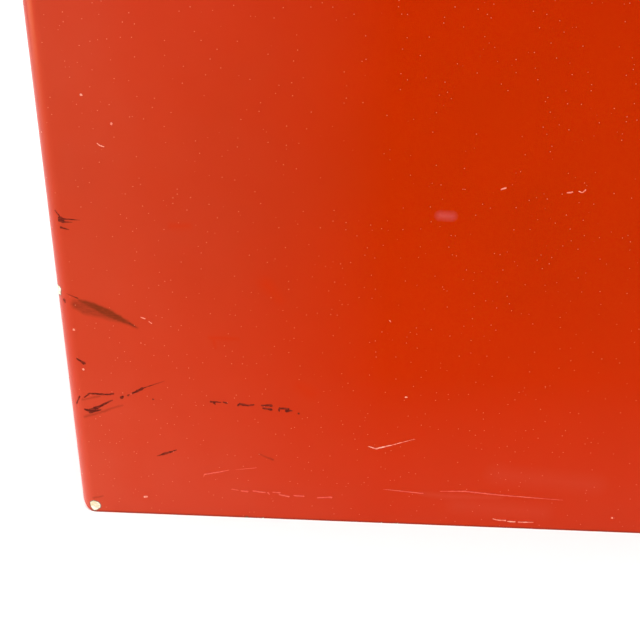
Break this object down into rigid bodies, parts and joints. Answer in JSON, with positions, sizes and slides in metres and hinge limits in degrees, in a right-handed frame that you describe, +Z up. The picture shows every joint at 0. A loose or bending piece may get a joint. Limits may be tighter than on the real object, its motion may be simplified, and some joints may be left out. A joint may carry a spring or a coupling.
{
  "type": "newspaper vending box",
  "caption": "Floor-standing red sheet-steel newspaper vending box with a sprung pull-down window door, a wire page rack, and a coin head with latch, cup and drawer.",
  "frame": {"origin": "on the ground, at the centre of the four anchor holes in the floor plate", "axes": "+Z up, the front with the door faces -Y, +X to the right as seen from the front"},
  "size_m": [0.517, 0.5248, 1.196],
  "materials": {
    "red_paint": "glossy vermilion enamel with scuffs and edge chips",
    "stainless": "brushed stainless steel",
    "zinc_steel": "zinc plated steel",
    "galvanised": "galvanised sheet",
    "spring_steel": "oiled spring steel",
    "chrome": "polished chrome",
    "brass": "worn brass",
    "rubber": "soft black rubber",
    "clear_plastic": "clear polycarbonate",
    "black_plastic": "satin black plastic",
    "card": "blank printed card",
    "concrete": "cast concrete"
  },
  "bodies": {
    "cabinet": {"cabinet_shell": "red_paint", "top_cap": "red_paint", "base_plate": "galvanised", "mid_rail": "red_paint", "top_rail": "red_paint", "paper_shelf": "galvanised", "paper_guides": "galvanised", "weatherstrip": "rubber", "security_eye": "zinc_steel", "lower_front_panel": "red_paint", "rack_card_frame": "black_plastic", "rack_card": "card", "rack_card_cover": "clear_plastic", "ballast_block": "concrete", "ballast_strap": "galvanised", "cap_rivets": "zinc_steel", "security_screws": "stainless", "hinge_brackets": "zinc_steel", "hinge_rod": "zinc_steel", "hinge_springs": "spring_steel", "stay_brackets": "zinc_steel", "stay_studs": "zinc_steel", "latch_bracket": "zinc_steel", "pivot_pins": "zinc_steel", "latch_spring": "spring_steel", "head_housing": "red_paint", "face_plate": "stainless", "face_screws": "stainless", "head_bolts": "zinc_steel", "coin_bezel": "chrome", "coin_chute": "zinc_steel", "return_chute": "galvanised", "return_cup": "stainless", "button_spring": "spring_steel", "button_guide": "zinc_steel", "mech_base": "galvanised", "price_frame": "black_plastic", "price_card": "card"},
    "door": {"door_panel": "red_paint", "window_trim": "stainless", "window_gasket": "rubber", "window_pane": "clear_plastic", "window_retainer": "galvanised", "window_bolts": "stainless", "door_handle": "chrome", "handle_screws": "zinc_steel", "keeper": "zinc_steel", "door_stays": "zinc_steel", "rack_clips": "black_plastic", "door_hinge_lugs": "zinc_steel"},
    "display_rack": {"display_rack": "zinc_steel"},
    "latch": {"latch_lever": "zinc_steel"},
    "trip_rod": {"trip_rod": "zinc_steel"},
    "coin_lever": {"coin_lever": "zinc_steel"},
    "return_button": {"return_button": "chrome"},
    "return_flap": {"return_flap": "stainless"},
    "cash_drawer": {"drawer_front": "stainless", "cash_box": "galvanised", "lock_barrel": "chrome"},
    "lock": {"lock_plug": "brass"}
  },
  "joints": [
    {"name": "door_hinge", "type": "hinge", "parent": "cabinet", "child": "door", "pos_m": [0, -0.228, 0.418], "axis": [1, 0, 0], "range_deg": [0, 65], "stiffness_Nm_per_rad": 22, "springref_deg": -14.32, "deforming": ["hinge_springs"]},
    {"name": "rack_tilt", "type": "hinge", "parent": "door", "child": "display_rack", "pos_m": [0, -0.2236, 0.597], "axis": [-1, 0, 0], "range_deg": [0, 30]},
    {"name": "latch_turn", "type": "hinge", "parent": "cabinet", "child": "latch", "pos_m": [0, -0.14, 0.968], "axis": [1, 0, 0], "range_deg": [0, 8], "deforming": ["latch_spring"]},
    {"name": "trip_slide", "type": "slide", "parent": "cabinet", "child": "trip_rod", "axis": [0, 0, 1], "range_m": [0, 0.007]},
    {"name": "coin_lever_turn", "type": "hinge", "parent": "cabinet", "child": "coin_lever", "pos_m": [0, -0.06, 1.112], "axis": [-1, 0, 0], "range_deg": [0, 13.4]},
    {"name": "button_press", "type": "slide", "parent": "cabinet", "child": "return_button", "axis": [0, 1, 0], "range_m": [0, 0.006], "stiffness_N_per_m": 300, "springref_m": -0.002, "deforming": ["button_spring"]},
    {"name": "flap_swing", "type": "hinge", "parent": "cabinet", "child": "return_flap", "pos_m": [0.038, -0.2, 1.072], "axis": [1, 0, 0], "range_deg": [0, 60]},
    {"name": "drawer_slide", "type": "slide", "parent": "cabinet", "child": "cash_drawer", "axis": [0, -1, 0], "range_m": [0, 0.15]},
    {"name": "lock_turn", "type": "hinge", "parent": "cash_drawer", "child": "lock", "pos_m": [-0.04, -0.2125, 1.094], "axis": [0, 1, 0], "range_deg": [0, 90]}
  ],
  "couplings": [
    {"joint": "trip_slide", "follows": "latch_turn", "m_per_rad": 0.05},
    {"joint": "coin_lever_turn", "follows": "latch_turn", "ratio": 1.6667}
  ]
}
